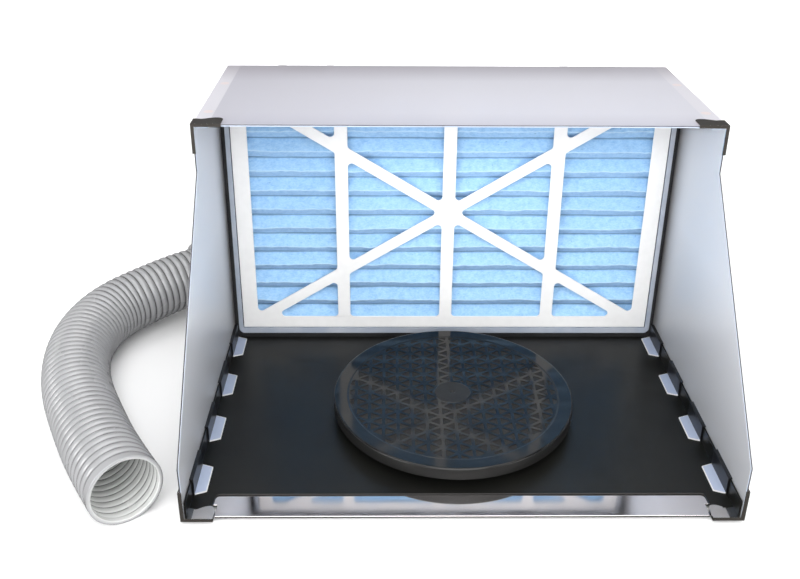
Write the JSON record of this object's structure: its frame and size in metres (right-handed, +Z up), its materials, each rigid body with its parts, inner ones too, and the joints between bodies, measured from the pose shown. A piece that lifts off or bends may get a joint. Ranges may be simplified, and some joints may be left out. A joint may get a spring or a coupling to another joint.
{
  "type": "airbrush spray booth",
  "caption": "Table-top spray booth: frosted hood over a black tray, turntable, pleated filter, blower housing and a corrugated exhaust hose.",
  "frame": {"origin": "on the table, under the middle of the booth without its hose", "axes": "+X to the booth's right seen from the open front, +Y towards the back, +Z up"},
  "size_m": [0.5597, 0.3904, 0.2528],
  "materials": {
    "hood_sheet": "frosted translucent sheet",
    "clear_sheet": "glossy translucent sheet",
    "black_sheet": "satin black sheet",
    "black_moulding": "fine textured black moulding",
    "chrome": "bright plated strip",
    "mirror_sheet": "polished bright metal sheet",
    "clear_frame": "clear thermoformed frame",
    "white_card": "coated white card",
    "blue_felt": "blue pleated synthetic felt",
    "black_gloss": "glossy black moulding",
    "rubber": "soft black rubber",
    "foam": "closed-cell foam strip",
    "grey_hose": "light warm grey flexible vinyl",
    "grey_moulding": "grey moulding",
    "steel": "plain steel",
    "dark_plastic": "dark moulding",
    "white_plastic": "natural nylon",
    "wire_red": "vinyl wire cover",
    "board_green": "coated circuit board"
  },
  "bodies": {
    "booth": {"side_panel_left": "hood_sheet", "side_panel_right": "hood_sheet", "panel_rivets": "dark_plastic", "corner_clip_lower_left": "chrome", "corner_clip_lower_right": "chrome", "floor_tray": "black_sheet", "bottom_sheet": "mirror_sheet", "front_pads": "rubber", "housing_feet": "rubber", "housing_frame": "black_moulding", "rear_cover": "black_moulding", "cover_screws": "steel", "filter_retainer": "clear_frame", "support_grille": "dark_plastic", "inner_bulkhead": "dark_plastic", "inlet_guard": "steel", "scroll_housing": "dark_plastic", "scroll_front": "dark_plastic", "scroll_gasket": "foam", "motor_case": "steel", "motor_bearings": "steel", "motor_lead": "wire_red", "outlet_elbow": "grey_moulding", "hose_cuff": "grey_moulding", "hose": "grey_hose", "turntable_base": "black_moulding", "turntable_washer": "white_plastic", "turntable_spindle": "steel", "turntable_pads": "rubber", "hinge_pins": "steel", "top_seal": "foam", "handle_pins": "steel", "switch_body": "dark_plastic", "switch_pin": "steel", "power_inlet": "dark_plastic", "power_inlet_nut": "steel", "circuit_board": "board_green"},
    "hood_top": {"top_panel": "hood_sheet", "snap_studs": "clear_sheet", "corner_clip_upper_left": "chrome", "corner_clip_upper_right": "chrome", "hinge_leaves": "steel"},
    "filter": {"filter_front": "white_card", "filter_band": "white_card", "filter_back": "white_card", "filter_media": "blue_felt"},
    "turntable": {"turntable_disc": "black_gloss"},
    "fan": {"impeller": "dark_plastic", "motor_shaft": "steel", "motor_rotor": "steel"},
    "handle": {"carry_handle": "black_moulding"},
    "rocker": {"switch_rocker": "black_gloss"}
  },
  "joints": [
    {"name": "turntable_spin", "type": "hinge", "parent": "booth", "child": "turntable", "pos_m": [0, -0.05475, 0.02], "axis": [0, 0, 1], "continuous": true},
    {"name": "fan_spin", "type": "hinge", "parent": "booth", "child": "fan", "pos_m": [0.025, 0.14125, 0.094], "axis": [0, 1, 0], "continuous": true},
    {"name": "top_lift", "type": "hinge", "parent": "booth", "child": "hood_top", "pos_m": [0, 0.13445, 0.249], "axis": [-1, 0, 0], "range_deg": [0, 90]},
    {"name": "filter_tilt", "type": "hinge", "parent": "booth", "child": "filter", "pos_m": [0, 0.06125, 0.0155], "axis": [1, 0, 0], "range_deg": [0, 20]},
    {"name": "handle_fold", "type": "hinge", "parent": "booth", "child": "handle", "pos_m": [0, 0.14625, 0.2345], "axis": [1, 0, 0], "range_deg": [0, 90]},
    {"name": "switch_rock", "type": "hinge", "parent": "booth", "child": "rocker", "pos_m": [0.15, 0.18545, 0.06], "axis": [1, 0, 0], "range_deg": [0, 20]}
  ]
}
